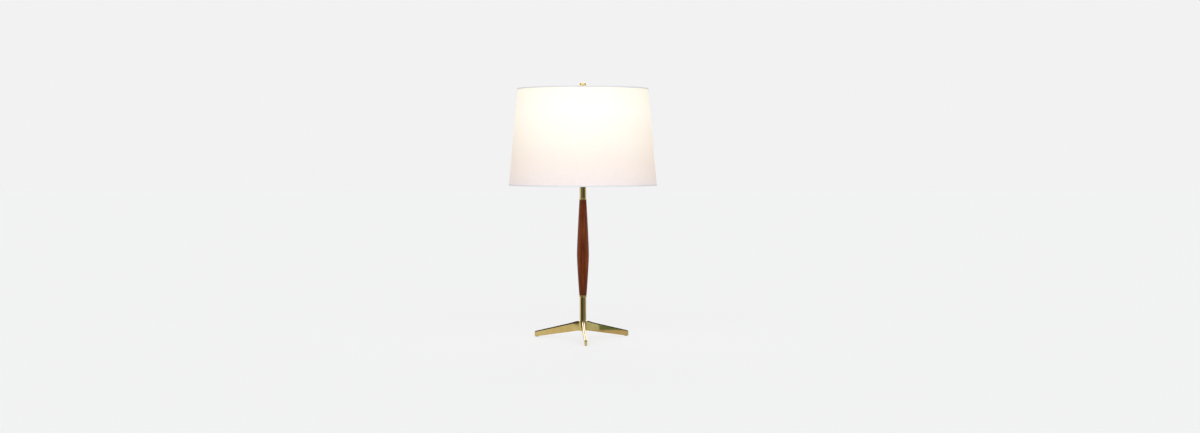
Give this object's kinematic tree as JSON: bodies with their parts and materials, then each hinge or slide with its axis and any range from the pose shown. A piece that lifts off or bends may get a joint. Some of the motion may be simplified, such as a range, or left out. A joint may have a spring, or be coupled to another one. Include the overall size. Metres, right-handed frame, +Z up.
{
  "type": "table lamp",
  "caption": "Table lamp with a turned wood column on a brass tripod, a drum shade on a harp and spider, a turn-knob socket and a screw-base bulb.",
  "frame": {"origin": "on the table under the column's axis, at the lamp's lowest level", "axes": "+Z up along the column; -Y towards the front leg and the viewer; +X to the viewer's right"},
  "size_m": [0.3799, 0.38, 0.66],
  "materials": {
    "brass": "polished",
    "harp_brass": "plated satin",
    "walnut": "satin lacquer over turned hardwood",
    "felt": "felt",
    "zinc_steel": "zinc plated",
    "nickel": "nickel plated",
    "nylon": "moulded",
    "fibre": "pressed fibre",
    "phenolic": "moulded phenolic",
    "knob_plastic": "moulded",
    "frosted_glass": "frosted inside",
    "clear_glass": "clear",
    "tungsten": "drawn wire",
    "bulb_aluminium": "rolled",
    "glass_insulator": "fused glass",
    "spider_wire": "white powder coat",
    "styrene": "smooth sheet",
    "linen": "fine plain weave",
    "hem_tape": "plain weave, folded"
  },
  "bodies": {
    "stand": {"foot_pads": "felt", "leg_front": "brass", "leg_right": "brass", "leg_left": "brass", "hub": "brass", "pipe_washer": "zinc_steel", "pipe_nut": "zinc_steel", "cord_bushing": "nylon", "threaded_pipe": "zinc_steel", "lower_tube": "brass", "lower_ferrule": "brass", "wood_column": "walnut", "upper_ferrule": "brass", "upper_tube": "brass", "check_ring": "brass", "harp_saddle": "harp_brass", "harp": "harp_brass", "harp_stud": "harp_brass", "socket_cap": "brass", "cap_screw": "zinc_steel", "socket_shell": "brass", "shell_liner": "fibre", "socket_body": "phenolic", "screw_shell": "nickel", "centre_contact": "harp_brass", "terminal_screws": "nickel"},
    "left_sleeve": {"sleeve_left": "harp_brass"},
    "right_sleeve": {"sleeve_right": "harp_brass"},
    "switch": {"switch_stem": "nickel", "switch_knob": "knob_plastic"},
    "bulb": {"bulb_glass": "frosted_glass", "bulb_stem": "clear_glass", "bulb_filament": "tungsten", "bulb_cap": "bulb_aluminium", "bulb_insulator": "glass_insulator", "bulb_contact": "nickel"},
    "shade": {"spider_washer": "spider_wire", "arm_back": "spider_wire", "arm_left": "spider_wire", "arm_right": "spider_wire", "top_ring": "spider_wire", "bottom_ring": "spider_wire", "shade_liner": "styrene", "shade_fabric": "linen", "top_hem": "hem_tape", "bottom_hem": "hem_tape"},
    "finial": {"finial": "brass"}
  },
  "joints": [
    {"name": "left_sleeve_slide", "type": "slide", "parent": "stand", "child": "left_sleeve", "axis": [0, 0, 1], "range_m": [0, 0.014]},
    {"name": "right_sleeve_slide", "type": "slide", "parent": "stand", "child": "right_sleeve", "axis": [0, 0, 1], "range_m": [0, 0.014]},
    {"name": "switch_turn", "type": "hinge", "parent": "stand", "child": "switch", "pos_m": [0, -0.015, 0.4541], "axis": [0, -1, 0], "continuous": true},
    {"name": "bulb_turn", "type": "hinge", "parent": "stand", "child": "bulb", "pos_m": [0, 0, 0.5], "axis": [0, 0, 1], "continuous": true},
    {"name": "shade_turn", "type": "hinge", "parent": "stand", "child": "shade", "pos_m": [0, 0, 0.6], "axis": [0, 0, 1], "continuous": true},
    {"name": "finial_turn", "type": "hinge", "parent": "stand", "child": "finial", "pos_m": [0, 0, 0.64], "axis": [0, 0, 1], "continuous": true}
  ]
}
